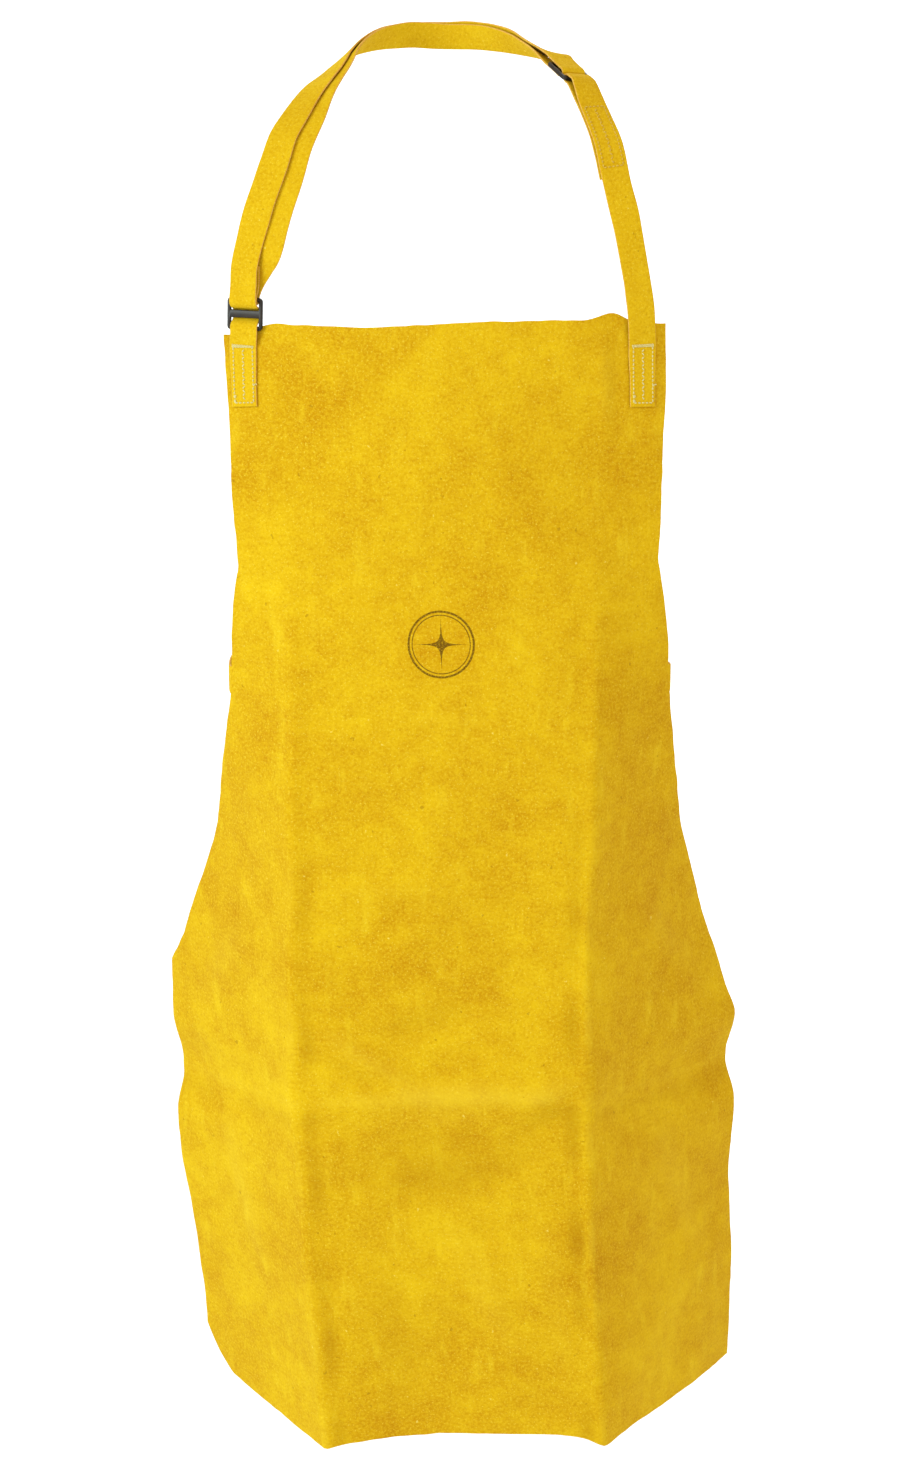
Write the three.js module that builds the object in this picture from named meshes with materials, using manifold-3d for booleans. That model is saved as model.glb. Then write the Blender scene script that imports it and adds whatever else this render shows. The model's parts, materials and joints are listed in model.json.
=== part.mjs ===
// Split-leather welding apron in the shape it has when worn: bib and skirt, strap over the neck, waist belt.
// Millimetres, +Z up, the front faces -Y, +X is to the right seen from the front.
// The origin is the middle of the neck strap where it rests on the back of the neck.
import * as THREE from "three";
import Module from "manifold-3d";
import { mergeVertices } from "three/addons/utils/BufferGeometryUtils.js";

const wasm = await Module();
wasm.setup();

// ---- driving dimensions -------------------------------------------------------------------------

const APRON_LENGTH = 914; // top edge to hem, 36 in
const SKIRT_HALF_WIDTH = 305; // half of 24 in
const LEATHER = 1.8; // apron sheet
const STRAP = 1.6; // strap leather
const STRAP_WIDTH = 22;
const GAP = 0.35; // air between pieces that lie on each other
const THREAD = 0.7;

const BIB_TOP_Z = -215; // top edge below the nape
const BIB_TOP_Y = -175; // chest plane in front of the nape
const LEFT_CORNER_DROP = 12;
const RIGHT_CORNER_DROP = 4;
const HEM_ARCH = 9;
const HEM_LEFT_RISE = 13;
const HEM_RIGHT_RISE = 0.5;
const CREASE_SOFTNESS = 14; // width over which a packing fold turns

const TAB_LEFT = 157; // strap centre lines on the bib, from the apron's centre line
const TAB_RIGHT = 153;
const TAB_TOP = 19;
const TAB_BOTTOM = 66;
const SEAM_INSET = 3;

const SLIDE_WIDTH = 29;
const SLIDE_HEIGHT = 24.8;
const SLIDE_THICK = 3;
const SLIDE_SLOT = 6;
const SLIDE_CENTRE_BAR = 6;
const SLIDE_SLOT_WIDTH = 23.2;

const WAIST_DROP = 282; // waist straps below the bib's top edge
const BUCKLE_Y = 40;
const BUCKLE_WIDTH = 28;
const BUCKLE_THICK = 9.6;
const PLUG_BAR_THICK = 3.4;

// How the worn sheet changes from the top edge down: half width of the cut, curvature of the front, angle
// that the sides fold back at the packing creases, how far forward the centre line stands, and its drift.
const ROWS = [
  { down: 0, half: 174, bow: 0.0022, fold: 0.0, forward: -20, drift: 0 },
  { down: 180, half: 168, bow: 0.0021, fold: 0.08, forward: 0, drift: 3 },
  { down: 280, half: 190, bow: 0.0014, fold: 0.5, forward: 12, drift: 5 },
  { down: 400, half: 235, bow: 0.0006, fold: 0.83, forward: 19, drift: 7 },
  { down: 490, half: 278, bow: 0.0003, fold: 0.87, forward: 20, drift: 7 },
  { down: 562, half: SKIRT_HALF_WIDTH, bow: 0.0001, fold: 0.85, forward: 20, drift: 9 },
  { down: 590, half: SKIRT_HALF_WIDTH, bow: 0.0, fold: 0.85, forward: 19, drift: 10 },
  { down: 630, half: SKIRT_HALF_WIDTH, bow: -0.0001, fold: 0.91, forward: 19, drift: 12.5 },
  { down: 668, half: SKIRT_HALF_WIDTH, bow: -0.0003, fold: 0.885, forward: 20, drift: 15.5 },
  { down: 740, half: SKIRT_HALF_WIDTH, bow: -0.0006, fold: 0.97, forward: 18, drift: 21 },
  { down: APRON_LENGTH, half: SKIRT_HALF_WIDTH, bow: -0.0012, fold: 1.07, forward: 13, drift: 38 },
];
const CREASE_TOP = 120; // packing creases, from the centre line
const CREASE_LEFT_BOTTOM = 136;
const CREASE_RIGHT_BOTTOM = 93;

// ---- the worn sheet -----------------------------------------------------------------------------

const smooth = (v) => THREE.MathUtils.smoothstep(v, 0, 1);

// How fast a value changes at a row, over a length down the sheet.
function slopeAt(n, key, length) {
  const [above, below] = [ROWS[Math.max(n - 1, 0)], ROWS[Math.min(n + 1, ROWS.length - 1)]];
  return ((below[key] - above[key]) * length) / (below.down - above.down);
}

// Between two rows the cut widens evenly, and everything else follows a smooth curve.
function rowAt(down) {
  const last = ROWS.length - 2;
  let i = 0;
  while (i < last && down > ROWS[i + 1].down) i += 1;
  const [a, b] = [ROWS[i], ROWS[i + 1]];
  const length = b.down - a.down;
  const t = (down - a.down) / length;
  const row = { half: THREE.MathUtils.lerp(a.half, b.half, t) };
  for (const key of ["bow", "fold", "forward", "drift"]) {
    const [start, end] = [slopeAt(i, key, length), slopeAt(i + 1, key, length)];
    const bend = (1 - t) * start - t * end;
    row[key] = THREE.MathUtils.lerp(a[key], b[key], smooth(t)) + t * (1 - t) * bend;
  }
  return row;
}

// A point of the sheet: across from the centre line, down from the top edge, and lift in front of the middle
// of the leather.
function onSheet(across, down, lift) {
  const row = rowAt(down);
  const side = Math.sign(across) || 1;
  const creaseBottom = side < 0 ? CREASE_LEFT_BOTTOM : CREASE_RIGHT_BOTTOM;
  const creaseAt = THREE.MathUtils.lerp(CREASE_TOP, creaseBottom, down / APRON_LENGTH);
  const steps = 40;
  const step = Math.abs(across) / steps;
  const heading = (d) => {
    const turned = row.fold * smooth((d - creaseAt) / CREASE_SOFTNESS + 0.5);
    return row.bow * Math.min(d, creaseAt) + turned + Math.max(0, row.bow) * Math.max(0, d - creaseAt);
  };
  let [x, back] = [0, 0];
  for (let i = 0; i < steps; i += 1) {
    const h = heading((i + 0.5) * step);
    x += step * Math.cos(h);
    back += step * Math.sin(h);
  }
  const h = heading(Math.abs(across));
  const y = BIB_TOP_Y - row.forward + back - lift * Math.cos(h);
  return new THREE.Vector3(row.drift + side * (x + lift * Math.sin(h)), y, BIB_TOP_Z - down);
}

// The hem is cut a little higher in the middle than at the creases, and rises slightly towards both corners.
function hemCut(across) {
  const share = across < 0 ? -across / CREASE_LEFT_BOTTOM : across / CREASE_RIGHT_BOTTOM;
  const rise = across < 0 ? HEM_LEFT_RISE : HEM_RIGHT_RISE;
  return share < 1 ? HEM_ARCH * (1 - share * share) : rise * (share - 1);
}

function topCut(across) {
  const drop = across < 0 ? LEFT_CORNER_DROP : RIGHT_CORNER_DROP;
  return drop * smooth((Math.abs(across) - 128) / 40);
}

// ---- helpers ------------------------------------------------------------------------------------

function mesh(name, geometry, material) {
  const piece = new THREE.Mesh(geometry, material);
  piece.name = name;
  return piece;
}

function mapVertices(geometry, place) {
  const position = geometry.attributes.position;
  const point = new THREE.Vector3();
  for (let i = 0; i < position.count; i += 1) {
    point.fromBufferAttribute(position, i);
    const moved = place(point);
    position.setXYZ(i, moved.x, moved.y, moved.z);
  }
  geometry.computeVertexNormals();
  return geometry;
}

// A leather strip is known by its stations: [point, outward normal]. The ribbon gives a point beside and
// above any place along it, and u runs from 0 to 1.
function ribbon(stations) {
  const path = new THREE.CatmullRomCurve3(stations.map(([point]) => point), false, "centripetal");
  const lean = new THREE.CatmullRomCurve3(stations.map(([, normal]) => normal), false, "catmullrom", 0.3);
  return (u, across, lift) => {
    const along = path.getTangent(u);
    const side = new THREE.Vector3().crossVectors(lean.getPoint(u), along).normalize();
    const up = new THREE.Vector3().crossVectors(along, side).normalize();
    return path.getPoint(u).addScaledVector(side, across).addScaledVector(up, lift);
  };
}

function strip(stations, stepsPerStation) {
  const at = ribbon(stations);
  const box = new THREE.BoxGeometry(STRAP_WIDTH, STRAP, 1, 1, 1, (stations.length - 1) * stepsPerStation);
  return mapVertices(box, (p) => at(p.z + 0.5, p.x, p.y));
}

// One continuous thread: round the box, then zigzag down the middle. surface(a, b, lift) is the leather.
function boxStitch(halfWidth, length, surface) {
  const teeth = 6;
  const inner = halfWidth - 3;
  const route = [
    [-halfWidth, 1.5], [-halfWidth, length], [halfWidth, length], [halfWidth, 0], [-inner, 0],
  ];
  for (let i = 0; i <= teeth; i += 1) {
    route.push([i % 2 ? inner : -inner, 3 + (i * (length - 6)) / teeth]);
  }
  const points = route.map(([a, b]) => new THREE.Vector3(a, b, 0));
  const path = new THREE.CatmullRomCurve3(points, false, "catmullrom", 0.05);
  const box = new THREE.BoxGeometry(THREAD, THREAD, 1, 1, 1, (route.length - 1) * 5);
  return mapVertices(box, (p) => {
    const u = p.z + 0.5;
    const along = path.getTangent(u);
    const at = path.getPoint(u);
    return surface(at.x - along.y * p.x, at.y + along.x * p.x, p.y);
  });
}

function toSolid(geometry) {
  const bare = geometry.index ? geometry.clone() : geometry;
  bare.deleteAttribute("normal");
  bare.deleteAttribute("uv");
  const merged = mergeVertices(bare, 1e-4);
  const vertProperties = new Float32Array(merged.attributes.position.array);
  const triVerts = new Uint32Array(merged.index.array);
  return new wasm.Manifold(new wasm.Mesh({ numProp: 3, vertProperties, triVerts }));
}

function fromSolid(solid) {
  const { vertProperties, triVerts } = solid.getMesh();
  const geometry = new THREE.BufferGeometry();
  geometry.setAttribute("position", new THREE.BufferAttribute(vertProperties, 3));
  geometry.setIndex(new THREE.BufferAttribute(triVerts, 1));
  geometry.computeVertexNormals();
  return geometry;
}

function roundedOutline(path, width, height, radius, z) {
  const [w, h, r] = [width / 2, height / 2, radius];
  path.absarc(w - r, z + h - r, r, 0, Math.PI / 2);
  path.absarc(-w + r, z + h - r, r, Math.PI / 2, Math.PI);
  path.absarc(-w + r, z - h + r, r, Math.PI, 1.5 * Math.PI);
  path.absarc(w - r, z - h + r, r, 1.5 * Math.PI, 2 * Math.PI);
  return path;
}

// A plate in the X-Z plane with rounded corners, thick along Y, with its middle at x.
function plate(width, height, thick, radius, x) {
  const outline = roundedOutline(new THREE.Shape(), width, height, radius, 0);
  const solid = new THREE.ExtrudeGeometry(outline, { depth: thick, bevelEnabled: false, curveSegments: 3 });
  return solid.rotateX(Math.PI / 2).translate(x, thick / 2, 0);
}

// ---- materials ----------------------------------------------------------------------------------

const hide = new THREE.MeshStandardMaterial({ color: 0xe2b012, roughness: 0.95, metalness: 0 });
const strapHide = new THREE.MeshStandardMaterial({ color: 0xe6b714, roughness: 0.92, metalness: 0 });
const blackPlastic = new THREE.MeshStandardMaterial({ color: 0x121214, roughness: 0.35, metalness: 0 });
const thread = new THREE.MeshStandardMaterial({ color: 0xf4e9b0, roughness: 0.8, metalness: 0 });

// ---- apron body ---------------------------------------------------------------------------------

function apronBody() {
  const [columns, rows] = [34, 38];
  const box = new THREE.BoxGeometry(1, 1, 1, columns, 1, rows);
  const geometry = mapVertices(box, (p) => {
    const even = (0.5 - p.z) * APRON_LENGTH;
    const across = 2 * p.x * rowAt(even).half;
    const cut = topCut(across);
    const down = cut + (even * (APRON_LENGTH - cut - hemCut(across))) / APRON_LENGTH;
    return onSheet(across, down, -p.y * LEATHER);
  });
  return mesh("apron_body", geometry, hide);
}

// ---- slides -------------------------------------------------------------------------------------

// Three bars and two slots with rounded edges, lying in the X-Z plane with its front towards -Y.
function threeBarSlide() {
  const soften = 0.8;
  const [outerWidth, outerHeight] = [SLIDE_WIDTH - 2 * soften, SLIDE_HEIGHT - 2 * soften];
  const outline = roundedOutline(new THREE.Shape(), outerWidth, outerHeight, 2.4, 0);
  for (const side of [1, -1]) {
    const slotZ = (side * (SLIDE_CENTRE_BAR + SLIDE_SLOT)) / 2;
    const [width, height] = [SLIDE_SLOT_WIDTH + 2 * soften, SLIDE_SLOT + 2 * soften];
    outline.holes.push(roundedOutline(new THREE.Path(), width, height, 1.2, slotZ));
  }
  const depth = SLIDE_THICK - 2 * soften;
  const bevel = { bevelEnabled: true, bevelSize: soften, bevelThickness: soften, bevelSegments: 2 };
  const solid = new THREE.ExtrudeGeometry(outline, { depth, curveSegments: 3, ...bevel });
  return solid.translate(0, 0, -depth / 2).rotateX(Math.PI / 2);
}

// The frame in which a slide lies: where its middle is, which way its strap runs and its outward side.
function slideFrame(centre, along, outward) {
  const up = along.clone().normalize();
  const side = new THREE.Vector3().crossVectors(up, outward).normalize();
  const front = new THREE.Vector3().crossVectors(side, up).normalize();
  return {
    front,
    matrix: new THREE.Matrix4().makeBasis(side, front.clone().negate(), up).setPosition(centre),
    at: (alongStrap, out, across = 0) => (
      centre.clone().addScaledVector(up, alongStrap).addScaledVector(front, out).addScaledVector(side, across)
    ),
    direction: (alongStrap, out) => up.clone().multiplyScalar(alongStrap).addScaledVector(front, out),
  };
}

const adjusterFrame = slideFrame(
  new THREE.Vector3(-152.2, -132.6, -211), new THREE.Vector3(0.03, 0, 1), new THREE.Vector3(-0.33, -0.94, 0),
);
const shoulderFrame = slideFrame(
  new THREE.Vector3(96, -77, -31), new THREE.Vector3(-0.5, 0.7, 0.5), new THREE.Vector3(0.3, -0.35, 0.9),
);

function slide(name, frame) {
  const piece = mesh(name, threeBarSlide(), blackPlastic);
  piece.applyMatrix4(frame.matrix);
  return piece;
}

// ---- neck strap and shoulder strap --------------------------------------------------------------

const v3 = (x, y, z) => new THREE.Vector3(x, y, z);
const LAY = LEATHER / 2 + GAP + STRAP / 2; // middle of a strap that lies on the sheet

const tabCentre = (side) => (side < 0 ? -TAB_LEFT : TAB_RIGHT);

function tabStations(side) {
  const downs = [TAB_BOTTOM, 54, 42, 32, 25, TAB_TOP + 1];
  return downs.map((down) => [onSheet(tabCentre(side), down, LAY), v3(side * 0.34, -0.94, 0)]);
}

// Stations of a strap that turns round a bar, from local [along, out, normal along, normal out, across].
function turnStations(frame, turns) {
  return turns.map(([along, out, nAlong, nOut, across]) => [
    frame.at(along, out, across), frame.direction(nAlong, nOut),
  ]);
}

// In front of the lower bar, behind the centre bar, and over the upper bar and the strap's own end.
const THREADING = [
  [-13.5, 2.6, 0, 1], [-10.6, 2.9, 0, 1], [-8.2, 2.4, 0.6, 0.8], [-6, 0, 0.75, 0.66],
  [-3.8, -2.4, 0.6, 0.8], [-1, -2.9, 0, 1], [1.2, -2.9, -0.2, 1], [3.5, -2.3, -0.7, 0.7],
  [4.7, -0.2, -0.92, 0.4], [5.8, 2.8, -0.9, 0.45], [8.2, 5.0, -0.5, 0.87], [11, 5.5, 0, 1],
  [16, 5.0, 0.1, 1], [24, 3.8, 0.1, 1], [34, 2.8, 0, 1],
];

// From the chest over one shoulder to the nape, and down to the other shoulder.
const NECK_RUN = [
  [v3(-149, -135, -163), v3(-0.3, -0.95, 0.1)],
  [v3(-140, -134, -131), v3(-0.22, -0.97, 0.12)],
  [v3(-129, -130, -100), v3(-0.2, -0.94, 0.28)],
  [v3(-122, -121, -79), v3(-0.22, -0.85, 0.48)],
  [v3(-112, -107, -62), v3(-0.25, -0.7, 0.67)],
  [v3(-101, -88, -45), v3(-0.35, -0.5, 0.79)],
  [v3(-87, -70, -30), v3(-0.5, -0.25, 0.83)],
  [v3(-73, -49, -14), v3(-0.7, 0.02, 0.72)],
  [v3(-52, -25, -4), v3(-0.7, 0.4, 0.6)],
  [v3(-27, -7, 0), v3(-0.42, 0.75, 0.5)],
  [v3(0, 0, 0), v3(0, 0.88, 0.47)],
  [v3(27, -7, 0), v3(0.42, 0.75, 0.5)],
  [v3(51, -25, -4), v3(0.68, 0.38, 0.63)],
  [v3(72, -47, -13), v3(0.6, 0.02, 0.8)],
];

// Over the outside of the shoulder slide, round its centre bar and back along its inside.
const SHOULDER_TURN = [
  [20, 3.4, 0, 1], [14, 3.0, 0, 1], [8, 2.8, 0, 1], [2, 2.8, 0, 1], [-1, 2.9, -0.1, 1],
  [-3.4, 2.3, -0.6, 0.8], [-4.7, 0, -1, 0], [-3.4, -2.3, -0.6, -0.8], [-1, -2.9, -0.1, -1],
  [2, -2.8, 0, -1], [8, -2.8, 0, -1], [14, -3.0, 0, -1], [20, -3.2, 0, -1],
];

// The returning layer lies under the first one and nearer the neck. It ends round the adjuster's upper bar.
const RETURN_SHIFT = [-15, -15, -14.5, -14, -12, -9, -7, -4, -2, -1, 0, 1, 2, 1];
const END_LOOP = [
  [36, -2.4, 0, -1, 11], [25, -3.4, 0, -1, 4], [14, -3.2, 0, -1], [10.7, -2.75, 0, -1], [8.3, -2.1, 0.7, -0.7],
  [7.7, 0, 1, 0], [8.3, 2.1, 0.7, 0.7], [10.7, 2.75, 0, 1], [13.5, 2.3, -0.3, 1], [18, -0.2, -0.3, 1],
  [24, -1.2, 0, 1], [36, -0.2, 0, 1],
];

function returnStations() {
  const under = STRAP + GAP + 0.6;
  return NECK_RUN.map(([point, normal], i) => {
    const outward = normal.clone().normalize();
    const next = NECK_RUN[Math.min(i + 1, NECK_RUN.length - 1)][0];
    const before = NECK_RUN[Math.max(i - 1, 0)][0];
    const along = next.clone().sub(before).normalize();
    const side = new THREE.Vector3().crossVectors(outward, along).normalize();
    const lower = point.clone().addScaledVector(outward, -under).addScaledVector(side, RETURN_SHIFT[i]);
    return [lower, outward.negate()];
  }).reverse();
}

const NECK_STATIONS = [
  ...tabStations(-1),
  ...turnStations(adjusterFrame, THREADING),
  ...NECK_RUN,
  ...turnStations(shoulderFrame, SHOULDER_TURN),
  ...returnStations(),
  ...turnStations(adjusterFrame, END_LOOP),
];

// The shoulder strap's end goes over the near bar, through the slide and back down inside.
const SHOULDER_RUN = [
  [v3(149, -136, -207), v3(0.3, -0.95, 0.05)],
  [v3(143, -135, -170), v3(0.25, -0.96, 0.1)],
  [v3(137, -134, -141), v3(0.2, -0.96, 0.16)],
  [v3(129, -131, -111), v3(0.2, -0.93, 0.3)],
  [v3(123, -123, -84), v3(0.22, -0.83, 0.5)],
  [v3(113, -106, -58), v3(0.25, -0.68, 0.68)],
];
const SHOULDER_FOLD = [
  [-17, 3.0, 0, 1], [-13, 2.9, 0, 1], [-10.5, 2.75, 0, 1], [-8.2, 2.0, 0.7, 0.7], [-7.6, 0, 1, 0],
  [-8.2, -2.0, 0.7, -0.7], [-10.5, -2.75, 0, -1], [-14, -2.6, 0, -1],
];
const FOLD_UNDER = [
  [v3(112.4, -103.9, -60), v3(-0.25, 0.68, -0.68)],
  [v3(121.8, -120.5, -85), v3(-0.22, 0.83, -0.5)],
  [v3(127.6, -128.6, -110), v3(-0.2, 0.93, -0.3)],
];

const SHOULDER_STATIONS = [
  ...tabStations(1),
  ...SHOULDER_RUN,
  ...turnStations(shoulderFrame, SHOULDER_FOLD),
  ...FOLD_UNDER,
];

// ---- waist belt ---------------------------------------------------------------------------------

const WAIST_Z = BIB_TOP_Z - WAIST_DROP;
const BUCKLE_AT = v3(0, BUCKLE_Y, WAIST_Z);

// Sewn behind the sheet's side edge, then round the wearer to the back.
function waistStations(side) {
  const edge = rowAt(WAIST_DROP).half;
  const sewn = [[-40, 0.3], [-28, 0.4], [-16, 0.8], [-4, 1.6]].map(([inFromEdge, clear]) => [
    onSheet(side * (edge + inFromEdge), WAIST_DROP, -LAY - clear), v3(side * 0.65, -0.76, 0),
  ]);
  const free = [
    [onSheet(side * (edge + (side < 0 ? 4 : 7)), WAIST_DROP, -LAY - 1.8), v3(side * 0.8, -0.6, 0)],
    [v3(side * (side < 0 ? 172 : 175), -100, WAIST_Z), v3(side * 1, 0.03, 0)],
    [v3(side * 170, -64, WAIST_Z), v3(side * 0.95, 0.3, 0)],
    [v3(side * 157, -28, WAIST_Z), v3(side * 0.8, 0.6, 0)],
    [v3(side * 132, 2, WAIST_Z), v3(side * 0.65, 0.76, 0)],
    [v3(side * 102, 25, WAIST_Z), v3(side * 0.45, 0.9, 0)],
  ];
  return [...sewn, ...free];
}

const beltAt = (x, out, nx, nOut) => [v3(x, BUCKLE_Y + out, WAIST_Z), v3(nx, nOut, 0)];

// The left strap's end goes round the socket's bar and is sewn down inside.
const SOCKET_FOLD = [
  beltAt(-72, -0.5, -0.1, 1), beltAt(-54, 2.4, 0, 1), beltAt(-46, 3.1, 0, 1), beltAt(-41, 3.1, 0.1, 1),
  beltAt(-38.2, 2.5, 0.7, 0.7), beltAt(-37.6, 0, 1, 0), beltAt(-38.2, -2.5, 0.7, -0.7),
  beltAt(-41, -3.1, 0.1, -1), beltAt(-46, -2.8, 0, -1), beltAt(-54, -1.0, 0, -1), beltAt(-72, -3.4, 0.1, -1),
  beltAt(-84, -6.6, 0.2, -1),
];

// The right strap comes in under the plug's two bars, turns up and runs back outside as the tail.
const PLUG_TURN = [
  beltAt(72, -3.2, 0.1, 1), beltAt(48, -2.4, 0, 1), beltAt(30, -3.0, 0, 1), beltAt(20, -3.0, 0, 1),
  beltAt(11, -3.0, 0, 1), beltAt(8.1, -2.6, 0.7, 0.7), beltAt(7.2, 0, 1, 0), beltAt(8.1, 2.6, 0.7, -0.7),
  beltAt(11, 3.0, 0, -1), beltAt(20, 3.0, 0, -1), beltAt(30, 2.6, 0, -1), beltAt(48, 0.6, 0, -1),
  beltAt(72, -0.2, -0.1, -1),
];
const TAIL = [
  [v3(113, 23.5, WAIST_Z), v3(-0.5, -0.87, 0)],
  [v3(136, 7, WAIST_Z), v3(-0.62, -0.78, 0)],
];

// Outer shell with a cavity open towards the plug, side windows for the prongs and a bar for the strap.
function buckleSocket() {
  const [back, front] = [-43, -1];
  const length = front - back;
  let solid = toSolid(plate(length, BUCKLE_WIDTH, BUCKLE_THICK, 3, (back + front) / 2));
  solid = solid.subtract(toSolid(new THREE.BoxGeometry(29, 6.4, 22.4).translate(-14, 0, 0)));
  solid = solid.subtract(toSolid(new THREE.BoxGeometry(14.8, 6.4, 40).translate(-18.4, 0, 0)));
  solid = solid.subtract(toSolid(new THREE.BoxGeometry(6.2, 30, STRAP_WIDTH + 1.2).translate(-36, 0, 0)));
  for (const y of [7.3, -7.3]) {
    solid = solid.subtract(toSolid(new THREE.BoxGeometry(10, 11, 40).translate(-44, y, 0)));
  }
  return mesh("buckle_socket", fromSolid(solid).translate(...BUCKLE_AT), blackPlastic);
}

// Base with two strap bars, a guide tongue and two sprung prongs whose pads fill the socket's windows.
function buckleProng(side) {
  const outline = new THREE.Shape();
  outline.moveTo(1, 5.6);
  outline.lineTo(1, 9);
  outline.lineTo(-11, 10.4);
  outline.lineTo(-12.6, 13.2);
  outline.quadraticCurveTo(-20, 14.2, -23.4, 12.2);
  outline.quadraticCurveTo(-25.4, 9.8, -24.4, 8.2);
  outline.lineTo(-12, 7.2);
  const prong = new THREE.ExtrudeGeometry(outline, { depth: 5, bevelEnabled: false, curveSegments: 5 });
  prong.rotateX(Math.PI / 2).translate(0, 2.5, 0);
  return side > 0 ? toSolid(prong) : toSolid(prong).mirror([0, 0, 1]);
}

function bucklePlug() {
  let solid = toSolid(plate(20.6, BUCKLE_WIDTH, 5.4, 3, 10.3));
  for (const [x, size] of [[6, 5.2], [15.6, 3.6]]) {
    solid = solid.subtract(toSolid(new THREE.BoxGeometry(size, 20, STRAP_WIDTH + 1.2).translate(x, 0, 0)));
  }
  for (const y of [5, -5]) {
    const relief = new THREE.BoxGeometry(16, 10 - PLUG_BAR_THICK, STRAP_WIDTH + 1.2);
    solid = solid.subtract(toSolid(relief.translate(16.4, y, 0)));
  }
  solid = solid.add(toSolid(new THREE.BoxGeometry(24, 2.6, 4).translate(-11, 0, 0)));
  for (const side of [1, -1]) solid = solid.add(buckleProng(side));
  return mesh("buckle_plug", fromSolid(solid).translate(...BUCKLE_AT), blackPlastic);
}

// A leather loop round the right strap and its tail.
function waistKeeper() {
  const [width, depth, band] = [STRAP_WIDTH + 1.4, 6.4, 12];
  const ring = new THREE.Shape();
  ring.moveTo(-depth / 2 - STRAP, -width / 2 - STRAP);
  ring.lineTo(depth / 2 + STRAP, -width / 2 - STRAP);
  ring.lineTo(depth / 2 + STRAP, width / 2 + STRAP);
  ring.lineTo(-depth / 2 - STRAP, width / 2 + STRAP);
  const hole = new THREE.Path();
  hole.moveTo(-depth / 2, -width / 2);
  hole.lineTo(-depth / 2, width / 2);
  hole.lineTo(depth / 2, width / 2);
  hole.lineTo(depth / 2, -width / 2);
  ring.holes.push(hole);
  const loop = new THREE.ExtrudeGeometry(ring, { depth: band, bevelEnabled: false });
  loop.translate(0, 0, -band / 2).rotateY(Math.PI / 2).rotateX(Math.PI / 2);
  const piece = mesh("waist_keeper", loop, strapHide);
  piece.position.set(60, BUCKLE_Y - 1.3, WAIST_Z);
  return piece;
}

// ---- seams --------------------------------------------------------------------------------------

const THREAD_LIFT = STRAP / 2 + GAP + THREAD / 2;

function cornerSeam(name, side) {
  const lift = LAY + THREAD_LIFT;
  const surface = (a, b, up) => onSheet(tabCentre(side) + a, TAB_BOTTOM - SEAM_INSET - b, lift + up);
  const half = STRAP_WIDTH / 2 - SEAM_INSET;
  return mesh(name, boxStitch(half, TAB_BOTTOM - TAB_TOP - 2 * SEAM_INSET, surface), thread);
}

// A seam on a strip, from one station number to another, over a length in millimetres. face is 1 on the side
// that the strip's normals point to, and -1 on the other.
function stripSeam(name, stations, from, to, length, face) {
  const at = ribbon(stations);
  const half = STRAP_WIDTH / 2 - SEAM_INSET;
  const place = (b) => (from + ((to - from) * b) / length) / (stations.length - 1);
  const surface = (a, b, up) => at(place(b), -face * a, face * (THREAD_LIFT + up));
  return mesh(name, boxStitch(half, length, surface), thread);
}

// ---- assembly -----------------------------------------------------------------------------------

const LEFT_WAIST = [...waistStations(-1), ...SOCKET_FOLD];
const RIGHT_WAIST = [...waistStations(1), ...PLUG_TURN, ...TAIL];
const NECK_END = NECK_STATIONS.length - 1;
const WAIST_END = LEFT_WAIST.length - 1;

const apron = new THREE.Group();
apron.add(apronBody());
apron.add(mesh("neck_strap", strip(NECK_STATIONS, 3), strapHide));
apron.add(mesh("shoulder_strap", strip(SHOULDER_STATIONS, 3), strapHide));
apron.add(slide("neck_adjuster", adjusterFrame));
apron.add(slide("shoulder_slide", shoulderFrame));
apron.add(cornerSeam("neck_strap_corner_seam", -1));
apron.add(cornerSeam("shoulder_strap_corner_seam", 1));
apron.add(stripSeam("neck_strap_end_seam", NECK_STATIONS, NECK_END - 1.8, NECK_END - 0.3, 15, 1));
apron.add(stripSeam("shoulder_strap_fold_seam", SHOULDER_STATIONS, 9.4, 11, 50, 1));
apron.add(mesh("waist_strap_left", strip(LEFT_WAIST, 3), strapHide));
apron.add(mesh("waist_strap_right", strip(RIGHT_WAIST, 3), strapHide));
apron.add(stripSeam("waist_seam_left", LEFT_WAIST, 0.2, 2.7, 30, -1));
apron.add(stripSeam("waist_seam_right", RIGHT_WAIST, 0.2, 2.7, 30, -1));
apron.add(stripSeam("waist_strap_end_seam", LEFT_WAIST, WAIST_END - 2.1, WAIST_END - 0.5, 25, 1));
apron.add(buckleSocket());
apron.add(bucklePlug());
apron.add(waistKeeper());

export default apron;
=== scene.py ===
import json
import math

import bpy
import numpy as np
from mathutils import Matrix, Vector, noise

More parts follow.
